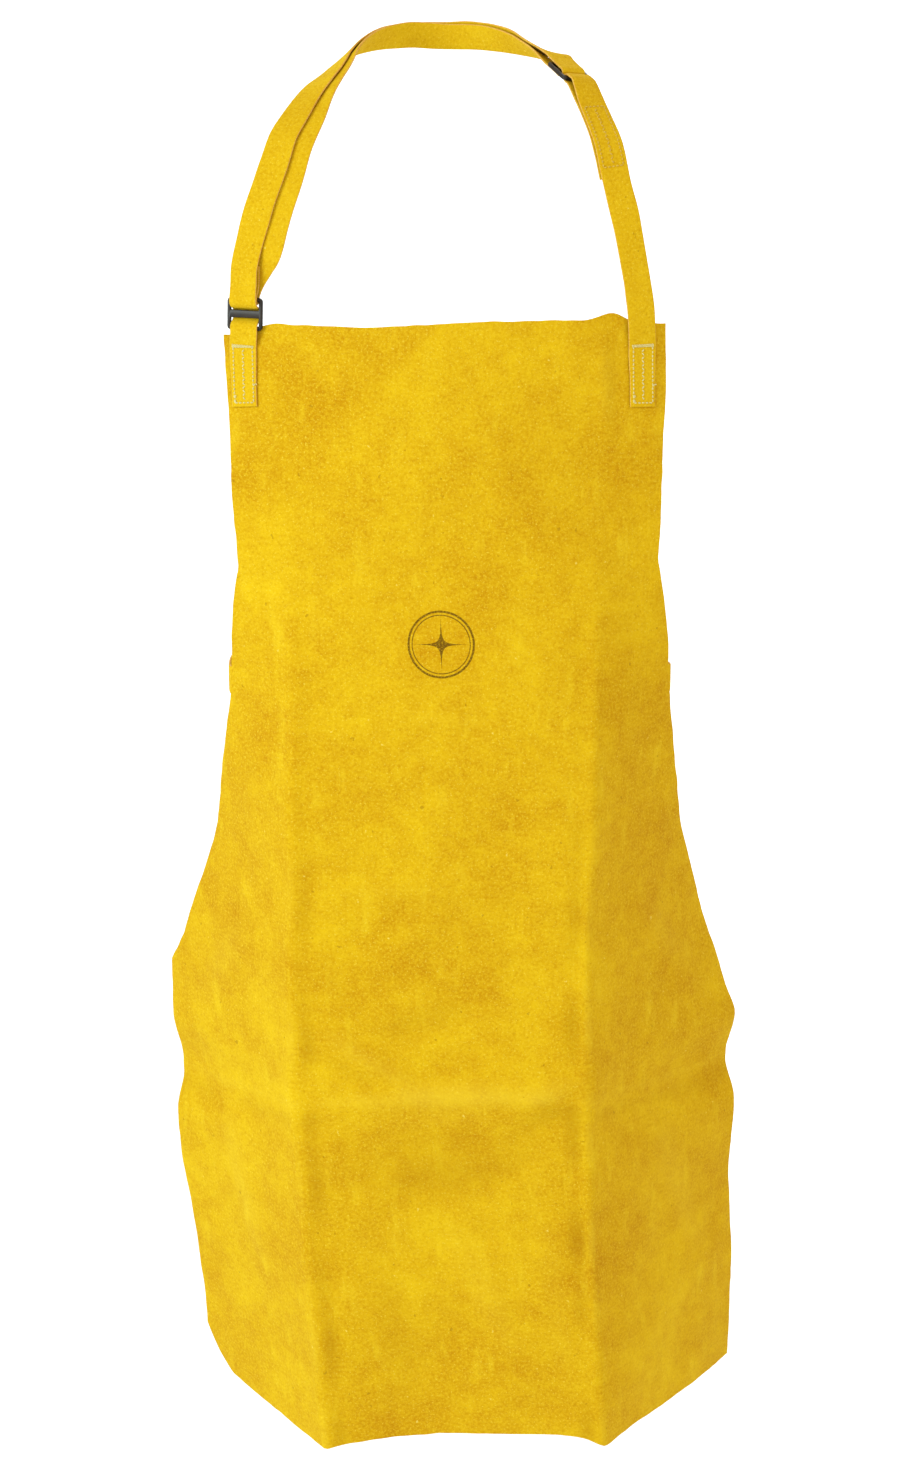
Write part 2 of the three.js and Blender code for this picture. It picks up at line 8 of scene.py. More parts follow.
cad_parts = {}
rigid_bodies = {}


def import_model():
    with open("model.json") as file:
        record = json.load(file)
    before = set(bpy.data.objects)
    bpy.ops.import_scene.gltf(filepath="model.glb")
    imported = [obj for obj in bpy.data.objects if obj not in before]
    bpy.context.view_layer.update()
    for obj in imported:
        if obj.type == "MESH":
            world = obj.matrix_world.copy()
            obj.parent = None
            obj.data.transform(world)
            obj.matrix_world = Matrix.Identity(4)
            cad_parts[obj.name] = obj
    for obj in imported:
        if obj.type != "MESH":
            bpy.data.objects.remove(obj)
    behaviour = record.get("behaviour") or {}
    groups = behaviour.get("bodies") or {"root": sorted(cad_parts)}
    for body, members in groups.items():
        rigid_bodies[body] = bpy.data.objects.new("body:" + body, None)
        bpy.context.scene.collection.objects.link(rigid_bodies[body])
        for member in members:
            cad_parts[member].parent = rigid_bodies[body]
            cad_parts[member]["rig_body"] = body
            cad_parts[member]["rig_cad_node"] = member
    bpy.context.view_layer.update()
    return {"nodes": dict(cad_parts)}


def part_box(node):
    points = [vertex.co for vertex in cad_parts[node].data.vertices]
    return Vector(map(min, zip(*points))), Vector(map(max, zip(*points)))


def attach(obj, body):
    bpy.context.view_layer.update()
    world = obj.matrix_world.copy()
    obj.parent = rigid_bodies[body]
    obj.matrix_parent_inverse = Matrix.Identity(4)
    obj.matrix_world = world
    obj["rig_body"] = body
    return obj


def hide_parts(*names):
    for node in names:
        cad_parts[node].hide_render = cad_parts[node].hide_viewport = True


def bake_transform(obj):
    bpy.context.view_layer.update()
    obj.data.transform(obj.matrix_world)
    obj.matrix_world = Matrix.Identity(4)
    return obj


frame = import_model()
bpy.ops.object.select_all(action="DESELECT")

# ---- camera --------------------------------------------------------------------------------------
# The view is from the front, a little above chest height, looking down at the apron.

CAMERA_PLACE = (0.004, -2.018, -0.100)
CAMERA_PITCH = 13.3
CAMERA_LENS = 59.27

bpy.ops.object.camera_add(location=CAMERA_PLACE, rotation=(math.radians(90 - CAMERA_PITCH), 0, 0))
camera = bpy.context.object
camera.data.lens = CAMERA_LENS
camera.data.sensor_width = 36
bpy.context.scene.camera = camera

# ---- floor and studio light ----------------------------------------------------------------------
# A pale sweep: floor and back wall in one sheet with a wide curve between them. The key light is a
# large softbox at the left. A weaker warm one fills from the right, one lights the straps from
# behind and one the back wall, and there is a pale sky all round.

FLOOR_Z = -1.62
WALL_Y = 6.6
WALL_TOP = 8.0
SWEEP_HALF_WIDTH = 12.0
SWEEP_RADIUS = 2.0
SWEEP_STEPS = 10
STUDIO_WHITE = (0.91, 0.96, 0.99, 1)
SKY_TINT = (1.0, 0.942, 0.89, 1)
SKY_STRENGTH = 0.97
APRON_MIDDLE = (0, -0.15, -0.6)
DAYLIGHT = (0.80, 0.97, 1.0)
WARM = (1.0, 0.78, 0.5)
PLAIN = (1, 1, 1)


def new_piece(name, points, faces):
    mesh = bpy.data.meshes.new(name)
    mesh.from_pydata(points, [], faces)
    piece = bpy.data.objects.new(name, mesh)
    bpy.context.scene.collection.objects.link(piece)
    return piece


def studio_sweep():
    turn = [math.radians(90 * i / SWEEP_STEPS) for i in range(SWEEP_STEPS + 1)]
    profile = [(-SWEEP_HALF_WIDTH, FLOOR_Z)]
    profile += [
        (WALL_Y - SWEEP_RADIUS + SWEEP_RADIUS * math.sin(a), FLOOR_Z + SWEEP_RADIUS * (1 - math.cos(a)))
        for a in turn
    ]
    profile.append((WALL_Y, WALL_TOP))
    points = [(x, y, z) for y, z in profile for x in (-SWEEP_HALF_WIDTH, SWEEP_HALF_WIDTH)]
    faces = [(2 * i, 2 * i + 1, 2 * i + 3, 2 * i + 2) for i in range(len(profile) - 1)]
    sweep = new_piece("studio_sweep", points, faces)
    sweep.data.shade_smooth()
    paint = bpy.data.materials.new("studio_white")
    paint.use_nodes = True
    shader = paint.node_tree.nodes["Principled BSDF"]
    shader.inputs["Base Color"].default_value = STUDIO_WHITE
    shader.inputs["Roughness"].default_value = 0.9
    sweep.data.materials.append(paint)


def softbox(name, place, aim, size, power, tint):
    light = bpy.data.lights.new(name, "AREA")
    light.shape, light.size, light.energy, light.color = "SQUARE", size, power, tint
    lamp = bpy.data.objects.new(name, light)
    lamp.visible_camera = False
    lamp.location = place
    lamp.rotation_euler = (Vector(aim) - Vector(place)).to_track_quat("-Z", "Y").to_euler()
    bpy.context.scene.collection.objects.link(lamp)


studio_sweep()
softbox("key", (-2.3, -1.9, 0.5), APRON_MIDDLE, 1.3, 64, DAYLIGHT)
softbox("fill", (2.2, -2.4, 0.2), APRON_MIDDLE, 2.0, 14, WARM)
softbox("back", (0.6, 2.4, 1.4), APRON_MIDDLE, 2.0, 32, PLAIN)
softbox("wall_wash", (0, 4.0, 2.6), (0, WALL_Y, -0.4), 3.0, 110, PLAIN)
sky = bpy.data.worlds.new("sky")
sky.use_nodes = True
sky.node_tree.nodes["Background"].inputs["Color"].default_value = SKY_TINT
sky.node_tree.nodes["Background"].inputs["Strength"].default_value = SKY_STRENGTH
bpy.context.scene.world = sky
bpy.context.scene.view_settings.view_transform = "Standard"

# ---- bib and skirt -------------------------------------------------------------------------------
# One piece of golden split cowhide, 36 by 24 inches, cut with a narrower bib. It hangs from the
# neck strap, bows round the chest and keeps the folds of its packing: two upright and one across,
# with fainter lines across above it.

LENGTH = 0.914
SKIRT_HALF_WIDTH = 0.305
LEATHER = 0.0018
BIB_TOP = (-0.175, -0.215)  # y and z of the top edge's middle
CREASE_TOP = 0.120
CREASE_LEFT_BOTTOM = 0.136
CREASE_RIGHT_BOTTOM = 0.093
CREASE_WIDTH = 0.011
LEFT_TURN_EXTRA = 0.055  # how much more, in radians, the left crease turns beside the fold across
ACROSS_FOLD_DOWN = 0.603  # the packing fold across the skirt
ACROSS_FOLD_SAG = 0.027  # how much lower that fold lies at the sides
HEM_LEFT_CORNER = (0.040, 0.032)  # how wide and how high the left corner of the hem is cut off
TAB_INNER_EDGE = 0.142  # the sheet stays plain under the two tabs of strap sewn to it
TAB_BOTTOM = 0.070
BEND_STEPS = 64
SHEET_COLUMNS = 190
SHEET_ROWS = 236
# down from the top edge, half width, curvature, turn at the creases, forward, sideways drift
ROWS = np.array([
    (0.000, 0.174, 2.2, 0.00, -0.020, 0.000),
    (0.180, 0.168, 2.1, 0.08, 0.000, 0.003),
    (0.280, 0.190, 1.4, 0.50, 0.012, 0.005),
    (0.400, 0.235, 0.6, 0.83, 0.019, 0.007),
    (0.490, 0.278, 0.3, 0.87, 0.020, 0.007),
    (0.562, SKIRT_HALF_WIDTH, 0.1, 0.85, 0.020, 0.0090),
    (0.590, SKIRT_HALF_WIDTH, 0.0, 0.85, 0.019, 0.0100),
    (0.630, SKIRT_HALF_WIDTH, -0.1, 0.91, 0.019, 0.0125),
    (0.668, SKIRT_HALF_WIDTH, -0.3, 0.885, 0.020, 0.0155),
    (0.740, SKIRT_HALF_WIDTH, -0.6, 0.97, 0.018, 0.021),
    (LENGTH, SKIRT_HALF_WIDTH, -1.2, 1.07, 0.013, 0.038),
])


def smooth(v):
    v = np.clip(v, 0, 1)
    return v * v * (3 - 2 * v)


def bump(v, middle, width):
    return np.exp(-(((v - middle) / width) ** 2))


def row_at(down):
    i = np.clip(np.searchsorted(ROWS[:, 0], down, side="right") - 1, 0, len(ROWS) - 2)
    above, below = ROWS[np.maximum(i - 1, 0)], ROWS[np.minimum(i + 2, len(ROWS) - 1)]
    a, b = ROWS[i], ROWS[i + 1]
    length = (b[:, 0] - a[:, 0])[:, None]
    t = ((down - a[:, 0]) / length[:, 0])[:, None]
    slope_a = (b - above) * length / (b[:, :1] - above[:, :1])
    slope_b = (below - a) * length / (below[:, :1] - a[:, :1])
    row = a + (b - a) * smooth(t) + t * (1 - t) * ((1 - t) * slope_a - t * slope_b)
    row[:, 1] = (a + (b - a) * t)[:, 1]  # the cut runs straight from row to row
    return row


def crease_at(across, down):
    bottom = np.where(across < 0, CREASE_LEFT_BOTTOM, CREASE_RIGHT_BOTTOM)
    return CREASE_TOP + (bottom - CREASE_TOP) * down / LENGTH


def on_sheet(across, down, lift):
    row = row_at(down)
    side = np.where(across < 0, -1.0, 1.0)
    bow = row[:, 2]
    fold = row[:, 3] + np.where(across < 0, LEFT_TURN_EXTRA, 0) * bump(down, 0.625, 0.085)
    crease = crease_at(across, down)
    step = np.abs(across) / BEND_STEPS

    def heading(d):
        turned = fold * smooth((d - crease) / CREASE_WIDTH + 0.5)
        return bow * np.minimum(d, crease) + turned + np.maximum(0, bow) * np.maximum(0, d - crease)

    x, back = np.zeros_like(across), np.zeros_like(across)
    for i in range(BEND_STEPS):
        h = heading((i + 0.5) * step)
        x += step * np.cos(h)
        back += step * np.sin(h)
    h = heading(np.abs(across))
    place_x = row[:, 5] + side * (x + lift * np.sin(h))
    place_y = BIB_TOP[0] - row[:, 4] + back - lift * np.cos(h)
    return np.stack([place_x, place_y, BIB_TOP[1] - down], 1)


def cut_of_hem(across):
    share = np.abs(across) / np.where(across < 0, CREASE_LEFT_BOTTOM, CREASE_RIGHT_BOTTOM)
    rise = np.where(across < 0, 0.013, -0.003)
    wide, high = HEM_LEFT_CORNER
    corner = high * np.clip((-across - SKIRT_HALF_WIDTH + wide) / wide, 0, 1) ** 2.2
    return np.where(share < 1, 0.009 * (1 - share ** 5), rise * (share - 1)) + corner


def cut_of_top(across):
    drop = np.where(across < 0, 0.012, 0.004)
    uneven = 0.005 * bump(across, -0.060, 0.075) - 0.006 * bump(across, 0.127, 0.013)
    return drop * smooth((np.abs(across) - 0.128) / 0.040) + uneven


def waves(points, size, seed):
    offset = Vector((seed, seed * 0.7, 0))
    return np.array([noise.noise(Vector((a / size, d / size, 0)) + offset) for a, d in points])


def wrinkle(points, start, end, width):
    a, b = np.array(start), np.array(end)
    share = np.clip(((points - a) @ (b - a)) / ((b - a) @ (b - a)), 0, 1)
    apart = np.linalg.norm(points - (a + share[:, None] * (b - a)), axis=1)
    ends = np.sin(np.pi * np.clip(share, 0.04, 0.96)) ** 0.7
    return np.exp(-((apart / width) ** 2)) * ends


# Each wrinkle: from and to (across, down), width and height, in metres. Height below 0 is a hollow.
WRINKLES = [
    ((-0.114, 0.548), (-0.030, 0.600), 0.009, 0.0024),
    ((-0.110, 0.568), (-0.030, 0.620), 0.009, -0.0020),
    ((-0.070, 0.560), (0.020, 0.530), 0.013, -0.0022),
    ((-0.095, 0.612), (0.060, 0.600), 0.011, 0.0024),
    ((-0.080, 0.646), (0.070, 0.636), 0.014, -0.0024),
    ((0.048, 0.612), (0.102, 0.590), 0.009, 0.0026),
    ((0.046, 0.634), (0.100, 0.610), 0.010, -0.0024),
    ((0.020, 0.690), (0.086, 0.664), 0.014, 0.0020),
    ((-0.095, 0.626), (0.080, 0.616), 0.022, 0.0028),
    ((-0.095, 0.676), (0.080, 0.668), 0.024, -0.0032),
    ((-0.052, 0.296), (0.040, 0.304), 0.006, 0.0012),
    ((-0.120, 0.437), (0.020, 0.434), 0.008, 0.0011),
    ((-0.060, 0.452), (0.040, 0.447), 0.008, -0.0008),
    ((0.122, 0.012), (0.126, 0.085), 0.009, 0.0018),
    ((0.141, 0.010), (0.141, 0.075), 0.006, -0.0013),
    ((-0.085, 0.040), (-0.074, 0.055), 0.005, 0.0011),
    ((-0.016, 0.700), (0.030, 0.845), 0.016, 0.0018),
    ((-0.070, 0.720), (-0.060, 0.880), 0.018, -0.0016),
    ((0.060, 0.690), (0.072, 0.880), 0.016, 0.0012),
    ((-0.240, 0.620), (-0.190, 0.800), 0.017, 0.0022),
    ((0.180, 0.640), (0.250, 0.800), 0.017, 0.0022),
    ((-0.180, 0.470), (-0.260, 0.560), 0.016, 0.0020),
    ((0.170, 0.450), (0.250, 0.545), 0.016, 0.0018),
]


def across_fold_at(across):
    return ACROSS_FOLD_DOWN + ACROSS_FOLD_SAG * smooth(np.abs(across) / SKIRT_HALF_WIDTH)


def relief(across, down):
    points = np.stack([across, down], 1)
    beside = np.abs(across) - crease_at(across, down)
    upright = smooth((down - 0.12) / 0.25)
    wander = 0.7 + 0.6 * waves(np.stack([np.sign(across), down], 1), 0.060, 17)
    height = upright * wander * (0.0006 * bump(beside, 0, 0.0045) - 0.0006 * bump(beside, -0.013, 0.008))
    across_fold = across_fold_at(across)
    fold = bump(down, across_fold, 0.006) - 0.8 * bump(down, across_fold + 0.015, 0.008)
    height += 0.0008 * fold * (0.55 + 0.45 * np.cos(across * 24))
    height += 0.0036 * bump(down, ACROSS_FOLD_DOWN - 0.004, 0.034) * smooth((0.16 - np.abs(across)) / 0.06)
    for start, end, width, tall in WRINKLES:
        height += tall * wrinkle(points, start, end, width)
    beside_tab = np.maximum(0, TAB_INNER_EDGE - np.abs(across))
    below_tab = np.maximum(0, down - TAB_BOTTOM)
    still = smooth((np.hypot(beside_tab, below_tab) - 0.004) / 0.02)
    soft = 0.0034 * waves(points, 0.140, 41) + 0.0019 * waves(points, 0.070, 3)
    soft += 0.0008 * waves(points, 0.030, 11) + 0.00022 * waves(points, 0.009, 23)
    hem = smooth((down - 0.5) / 0.4) * 0.0038 * waves(np.stack([across, down * 0.25], 1), 0.070, 31)
    return (height + soft + hem) * still


def lay_out(mesh, across, along):
    """The leather's own flat coordinates, in metres, as the uv map called cut."""
    cut = mesh.uv_layers.new(name="cut")
    corner = np.zeros(len(mesh.loops), int)
    mesh.loops.foreach_get("vertex_index", corner)
    cut.data.foreach_set("uv", np.stack([across[corner], along[corner]], 1).ravel())


def sheet_mesh(name, columns, rows):
    u, v = np.meshgrid(np.linspace(-1, 1, columns + 1), np.linspace(0, 1, rows + 1))
    u, even = u.ravel(), v.ravel() * LENGTH
    later = np.where(u > 0, 0.018, 0) * bump(even, 0.57, 0.06)
    across = u * row_at(even - later)[:, 1]
    edge = smooth((np.abs(u) - 0.93) / 0.07)
    side_line = np.stack([np.sign(u), even], 1)
    across += edge * np.sign(u) * (0.0020 * waves(side_line, 0.060, 5) + 0.0006 * waves(side_line, 0.011, 6))
    top = cut_of_top(across)
    down = top + even * (LENGTH - top - cut_of_hem(across)) / LENGTH
    ends = smooth((np.abs(v.ravel() - 0.5) - 0.46) / 0.04)
    end_line = np.stack([across, np.round(v.ravel())], 1)
    down += ends * (0.0018 * waves(end_line, 0.050, 7) + 0.0006 * waves(end_line, 0.012, 8))
    down = np.clip(down, -0.007, LENGTH + 0.009)
    lift = relief(across, down)
    points = on_sheet(across, down, lift)
    wide = columns + 1
    faces = [
        (r * wide + c, (r + 1) * wide + c, (r + 1) * wide + c + 1, r * wide + c + 1)
        for r in range(rows) for c in range(columns)
    ]
    piece = new_piece(name, points.tolist(), faces)
    lay_out(piece.data, across, down)
    # Colour per point: painted highlight along the crease ridges, on the fold across and on raised wrinkles
    # (on the ridges also rubbed wear), and painted shade beside the creases, under the fold across and in
    # hollow wrinkles.
    beside = np.abs(across) - crease_at(across, down)
    upright = smooth((down - 0.16) / 0.3)
    patchy = 0.55 + 1.1 * waves(np.stack([np.sign(across), down], 1), 0.045, 19)
    rubbed = upright * patchy * (0.7 * bump(beside, 0.0, 0.004) - 0.8 * bump(beside, -0.012, 0.008))
    across_fold = across_fold_at(across)
    rubbed += 0.35 * (bump(down, across_fold, 0.005) - bump(down, across_fold + 0.014, 0.009))
    for start, end, width, tall in WRINKLES:
        rubbed += 210 * tall * wrinkle(np.stack([across, down], 1), start, end, width)
    worn = piece.data.attributes.new("rubbed", "FLOAT", "POINT")
    worn.data.foreach_set("value", rubbed.astype(np.float32))
    return piece


def select_only(piece):
    bpy.ops.object.select_all(action="DESELECT")
    bpy.context.view_layer.objects.active = piece
    piece.select_set(True)


def smooth_by_angle(piece, degrees):
    select_only(piece)
    bpy.ops.object.shade_smooth_by_angle(angle=math.radians(degrees))
    piece.select_set(False)


def apply_modifiers(piece):
    select_only(piece)
    for modifier in list(piece.modifiers):
        bpy.ops.object.modifier_apply(modifier=modifier.name)
    piece.select_set(False)


class Grade:
    """A shader socket that plain Python sums work on."""

    def __init__(self, finish, socket):
        self.finish, self.socket = finish, socket

    def _maths(self, operation, first, second):
        return self.finish.add("ShaderNodeMath", {"operation": operation}, {0: first, 1: second})

    def __add__(self, other):
        return self._maths("ADD", self, other)

    __radd__ = __add__

    def __sub__(self, other):
        return self._maths("SUBTRACT", self, other)

    def __rsub__(self, other):
        return self._maths("SUBTRACT", other, self)

    def __mul__(self, other):
        return self._maths("MULTIPLY", self, other)

    __rmul__ = __mul__

    def __abs__(self):
        return self._maths("ABSOLUTE", self, 0)


class Finish:
    """A material under way: its Principled shader, and one way to add any node."""

    def __init__(self, name, roughness):
        self.material = bpy.data.materials.new(name)
        self.material.use_nodes = True
        self.tree = self.material.node_tree
        self.shader = self.tree.nodes["Principled BSDF"]
        self.shader.inputs["Roughness"].default_value = roughness

    def add(self, kind, settings=None, sockets=None, output=0):
        node = self.tree.nodes.new(kind)
        for key, value in (settings or {}).items():
            if key == "stops":
                self.set_stops(node.color_ramp, value)
            else:
                setattr(node, key, value)
        for key, value in (sockets or {}).items():
            self.feed(node.inputs[key], value)
        return Grade(self, node.outputs[output])

    def set_stops(self, ramp, stops):
        while len(ramp.elements) < len(stops):
            ramp.elements.new(1)
        for element, (position, shade) in zip(ramp.elements, stops):
            element.position, element.color = position, (shade, shade, shade, 1)

    def feed(self, socket, value):
        if isinstance(value, Grade):
            self.tree.links.new(value.socket, socket)
        else:
            socket.default_value = value

    def noise(self, where, scale, detail=3.0, rough=0.5):
        sockets = {"Vector": where, "Scale": scale, "Detail": detail, "Roughness": rough}
        return self.add("ShaderNodeTexNoise", None, sockets)

    def ramp(self, value, *stops):
        return self.add("ShaderNodeValToRGB", {"stops": stops}, {0: value})

    def blend(self, share, first, second, how="MIX"):
        settings = {"data_type": "RGBA", "blend_type": how}
        return self.add("ShaderNodeMix", settings, {0: share, 6: first, 7: second}, 2)

    def place(self, uv=None):
        if uv:
            return self.add("ShaderNodeUVMap", {"uv_map": uv})
        return self.add("ShaderNodeTexCoord", None, None, 3)

    def finish(self, colour=None, roughness=None, height=None, distance=0.0003, strength=1.0):
        if colour is not None:
            self.feed(self.shader.inputs["Base Color"], colour)
        if roughness is not None:
            self.feed(self.shader.inputs["Roughness"], roughness)
        if height is not None:
            sockets = {"Height": height, "Distance": distance, "Strength": strength}
            self.feed(self.shader.inputs["Normal"], self.add("ShaderNodeBump", None, sockets))
        return self.material


SHARE_OF_WHITE = 0.72  # the studio light is set so bright that white paper would be overexposed


def tone(red, green, blue):
    """A colour picker's 0 to 255 values as the paint that looks like them in this light."""
    def linear(value):
        share = value / 255
        return share / 12.92 if share <= 0.04045 else ((share + 0.055) / 1.055) ** 2.4
    return tuple(linear(value) * SHARE_OF_WHITE for value in (red, green, blue)) + (1,)


MARK_MIDDLE = (-0.007, 0.243, 0)
MARK_RADIUS = 0.025


def maker_mark(finish, uv):
    """How much brown ink lies at a point: a plain ring with a four-pointed spark in it."""
    apart = finish.add("ShaderNodeVectorMath", {"operation": "SUBTRACT"}, {0: uv, 1: MARK_MIDDLE})
    size = (1 / MARK_RADIUS, 1 / MARK_RADIUS, 0)
    scaled = finish.add("ShaderNodeVectorMath", {"operation": "MULTIPLY"}, {0: apart, 1: size})
    split = finish.add("ShaderNodeSeparateXYZ", None, {0: scaled})
    x, y = abs(split), abs(Grade(finish, split.socket.node.outputs[1]))
    radius = finish.add("ShaderNodeVectorMath", {"operation": "LENGTH"}, {0: scaled}, 1)
    ring = finish.ramp(abs(radius - 1.0), (0.026, 1), (0.040, 0))
    inner = finish.ramp(abs(radius - 0.89), (0.010, 1), (0.022, 0))
    spark = finish.ramp(x * y * 9 + radius * 0.16, (0.125, 1), (0.150, 0))
    worn = finish.ramp(finish.noise(uv, 900, 3, 0.7), (0.34, 0.25), (0.50, 1))
    ink = finish.add("ShaderNodeMath", {"operation": "MAXIMUM"}, {0: ring, 1: inner})
    ink = finish.add("ShaderNodeMath", {"operation": "MAXIMUM"}, {0: ink, 1: spark})
    return ink * worn * 0.82


def suede(name, lit, deep, uv=None, marked=False, rubbed=False):
    """Split cowhide: no grain layer, a short nap with painted highlights where it would catch the light, dye
    in clouds, rare flecks.
    """
    made = Finish(name, 0.9)
    made.shader.inputs["Specular IOR Level"].default_value = 0.08
    made.shader.inputs["Sheen Weight"].default_value = 0.03
    made.shader.inputs["Sheen Roughness"].default_value = 0.55
    made.shader.inputs["Sheen Tint"].default_value = tone(255, 222, 90)
    where = made.place(uv)
    drawn = made.add("ShaderNodeMapping", None, {"Vector": where, "Scale": (1, 0.30, 1)})
    clouds = made.ramp(made.noise(where, 7.5, 4, 0.56), (0.34, 0), (0.64, 1))
    patches = made.ramp(made.noise(where, 27, 5, 0.68), (0.34, 0), (0.66, 1))
    mottle = made.ramp(made.noise(where, 85, 5, 0.72), (0.36, 0), (0.64, 1))
    nap = made.noise(where, 420, 4, 0.74)
    fibres = made.noise(where, 1250, 3, 0.65)
    colour = made.blend(clouds * 0.44 + patches * 0.33 + mottle * 0.23, lit, deep)
    streaks = made.ramp(made.noise(drawn, 62, 3, 0.6), (0.58, 0), (0.74, 0.50))
    colour = made.blend(streaks, colour, tone(248, 212, 34))
    # Painted highlight: where the nap noise is high the colour is painted lighter, as nap catching the
    # light; where it is low, darker.
    colour = made.blend(made.ramp(nap, (0.46, 0), (0.70, 0.62)), colour, tone(250, 212, 40))
    colour = made.blend(made.ramp(nap, (0.28, 0.50), (0.45, 0)), colour, tone(188, 130, 2))
    glints = made.ramp(made.noise(where, 620, 2, 0.6), (0.60, 0), (0.70, 0.65))
    colour = made.blend(glints, colour, tone(255, 226, 74))
    if rubbed:
        # Painted highlight and painted shade from the mesh's per-point values: lighter on ridges and raised
        # wrinkles (partly rubbed wear), darker beside the creases, under the fold and in hollow wrinkles.
        wear_and_shading_level = made.add("ShaderNodeAttribute", {"attribute_name": "rubbed"}, None, 2)
        colour = made.blend(made.ramp(wear_and_shading_level, (0.1, 0), (1.0, 0.42)), colour, tone(250, 214, 52))
        colour = made.blend(made.ramp(0 - wear_and_shading_level, (0.1, 0), (1.0, 0.38)), colour, tone(176, 120, 2))
    pale = made.ramp(made.noise(where, 210, 2, 0.5), (0.735, 0), (0.775, 0.6))
    colour = made.blend(pale, colour, tone(255, 230, 110))
    dark = made.ramp(made.noise(where, 150, 2, 0.5), (0.245, 0.42), (0.280, 0))
    colour = made.blend(dark, colour, tone(150, 100, 8))
    if marked:
        colour = made.blend(maker_mark(made, where), colour, tone(74, 42, 14))
    rough = 0.98 - 0.14 * nap
    height = nap * 0.62 + fibres * 0.25 + mottle * 0.40
    return made.finish(colour, rough, height, 0.00055, 0.75)


HIDE_LIT = tone(245, 204, 18)
HIDE_DEEP = tone(204, 142, 0)
EDGE_PALE = tone(246, 206, 92)
# Both faces of the sheet get the painted highlight and painted shade of its creases, fold and wrinkles.
hide = suede("golden_split_hide", HIDE_LIT, HIDE_DEEP, "cut", marked=True, rubbed=True)
inner_hide = suede("golden_split_hide_inside", tone(238, 192, 16), tone(208, 150, 4), "cut", rubbed=True)


def cut_edge(name):
    """The cut side of the leather: paler fibres, with the dye only part of the way in."""
    made = Finish(name, 0.95)
    where = made.place()
    fibre = made.noise(where, 900, 3, 0.7)
    colour = made.blend(made.ramp(fibre, (0.35, 0), (0.65, 1)), EDGE_PALE, tone(226, 150, 34))
    return made.finish(colour, None, fibre, 0.0003)


raw_edge = cut_edge("raw_cut_edge")

apron_sheet = sheet_mesh("bib_and_skirt", SHEET_COLUMNS, SHEET_ROWS)
for finish_coat in (hide, inner_hide, raw_edge):
    apron_sheet.data.materials.append(finish_coat)
wall = apron_sheet.modifiers.new("leather", "SOLIDIFY")
wall.thickness, wall.offset = LEATHER, 0
wall.material_offset, wall.material_offset_rim = 1, 2
apply_modifiers(apron_sheet)
smooth_by_angle(apron_sheet, 50)
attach(apron_sheet, "apron")
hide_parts("apron_body")

# ---- neck strap ----------------------------------------------------------------------------------
# A strip of the same split hide, 22 mm wide. It is sewn to the left corner of the bib, threads
# through the adjuster, goes round the neck, turns at the shoulder slide and comes back underneath.

STRAP = 0.0016
STRAP_WIDTH = 0.022
STRAP_STEP = 0.0022
# The strap's section, from its right edge over the outside and back along the inside, as shares of
# its width and thickness: slightly crowned, with the corners of the cut worn round.
SECTION = [
    (0.500, 0.0), (0.497, 0.26), (0.484, 0.42), (0.455, 0.49), (0.25, 0.53), (0, 0.55), (-0.25, 0.53),
    (-0.455, 0.49), (-0.484, 0.42), (-0.497, 0.26), (-0.500, 0.0), (-0.497, -0.26), (-0.484, -0.42),
    (-0.455, -0.49), (-0.15, -0.50), (0.15, -0.50), (0.455, -0.49), (0.484, -0.42), (0.497, -0.26),
]
CUT_SIDES = {0, 1, 8, 9, 10, 11, 17, 18}  # the sides of the section that are cut leather
FACE_LIFT = 0.53  # the outside of the strap, above its middle, as a share of its thickness


def rings_of(node):
    """The strap's cross-sections from end to end, read from its plain solid: four corners each."""
    source = frame["nodes"][node].data
    keys = {}
    index = [keys.setdefault(tuple(np.round(v.co, 6)), len(keys)) for v in source.vertices]
    points = np.zeros((len(keys), 3))
    for vertex, i in zip(source.vertices, index):
        points[i] = vertex.co
    apart = np.linalg.norm(points[:, None] - points[None], axis=2)
    over = np.abs(apart - STRAP).argmin(1)
    beside = np.abs(apart - STRAP_WIDTH).argmin(1)

    def corners(i):
        return [i, int(over[i]), int(beside[i]), int(over[beside[i]])]

    ring_at = {i: min(corners(i)) for i in range(len(points))}
    near = {ring: set() for ring in ring_at.values()}
    for polygon in source.polygons:
        met = {ring_at[index[i]] for i in polygon.vertices}
        for ring in met:
            near[ring] |= met - {ring}

    def gap(first, second):
        return np.linalg.norm(points[corners(first)].mean(0) - points[corners(second)].mean(0))

    def walk(path):
        ahead = sorted(near[path[-1]] - set(path))
        while ahead:
            path.append(min(ahead, key=lambda ring: gap(ring, path[-1])))
            ahead = sorted(near[path[-1]] - set(path))
        return path

    order = []
    one_end = walk([ring_at[0]])[-1]
    for ring in walk([one_end]):
        last = points[order[-1]] if order else points[corners(ring)]
        turns = map(corners, corners(ring))
        order.append(min(turns, key=lambda four: np.linalg.norm(points[four] - last)))
    return points[np.array(order)]


def unit(vectors):
    return vectors / np.linalg.norm(vectors, axis=-1, keepdims=True)


